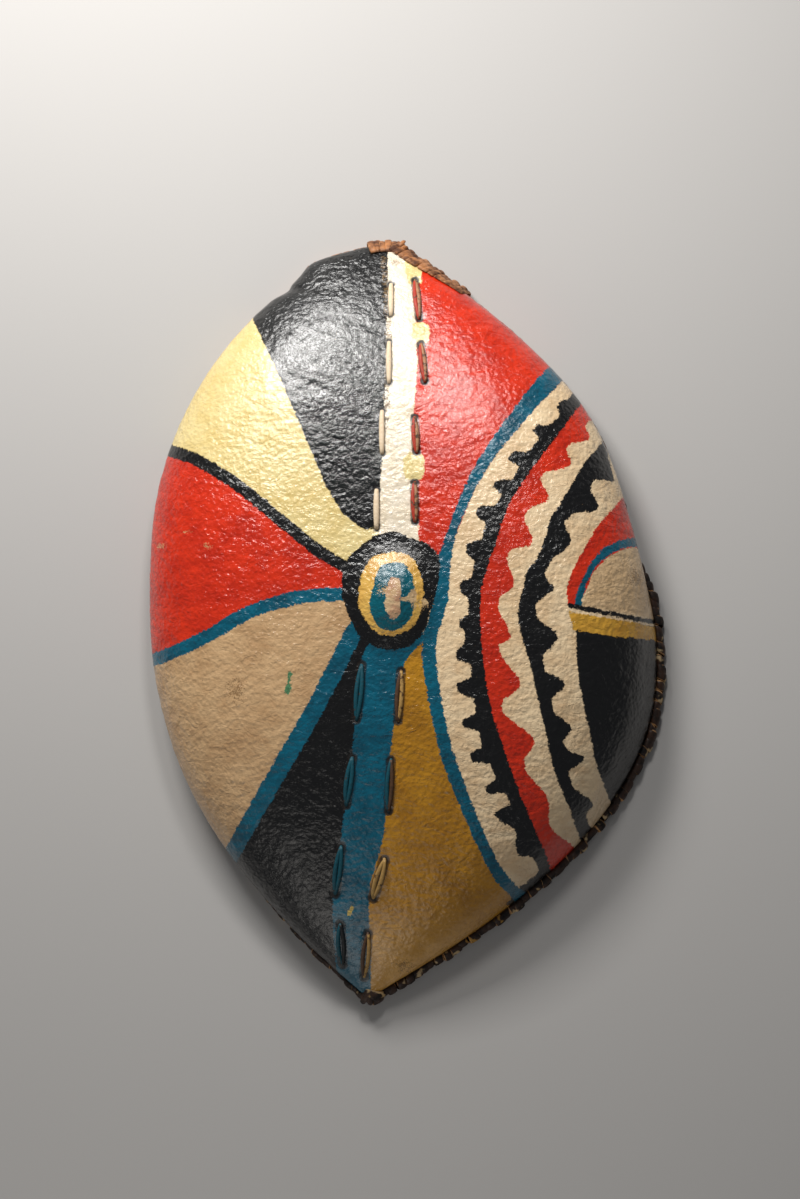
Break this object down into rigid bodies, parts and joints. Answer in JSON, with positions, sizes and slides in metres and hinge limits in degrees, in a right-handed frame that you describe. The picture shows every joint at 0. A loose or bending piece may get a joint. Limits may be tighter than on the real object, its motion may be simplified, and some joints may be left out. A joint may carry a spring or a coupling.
{
  "type": "hide shield",
  "caption": "Long leaf-shaped rawhide shield with a raised boss, a painted face, a bound edge and a wooden grip stave laced on behind.",
  "frame": {"origin": "middle of the outer sizes in plan, on the ground that the edge binding rests on", "axes": "+Y to the upper tip, +X to the right seen from the face, +Z out of the painted face"},
  "size_m": [0.6398, 0.9524, 0.1519],
  "materials": {
    "painted_hide": "oil-painted rawhide in red, black, cream, ochre and blue, with a soft worn gloss",
    "rim_rawhide": "dark wound rawhide strip",
    "thong_leather": "dry twisted thong, partly painted over",
    "grip_wood": "hand-worn, oiled wood"
  },
  "bodies": {
    "root": {"hide": "painted_hide", "rim_binding_left": "rim_rawhide", "rim_binding_right": "rim_rawhide", "lashing_thong_1": "thong_leather", "lashing_thong_2": "thong_leather", "lashing_thong_3": "thong_leather", "lashing_thong_4": "thong_leather", "lashing_thong_5": "thong_leather", "lashing_thong_6": "thong_leather", "lashing_thong_7": "thong_leather", "lashing_thong_8": "thong_leather", "grip_stave": "grip_wood"}
  },
  "joints": []
}
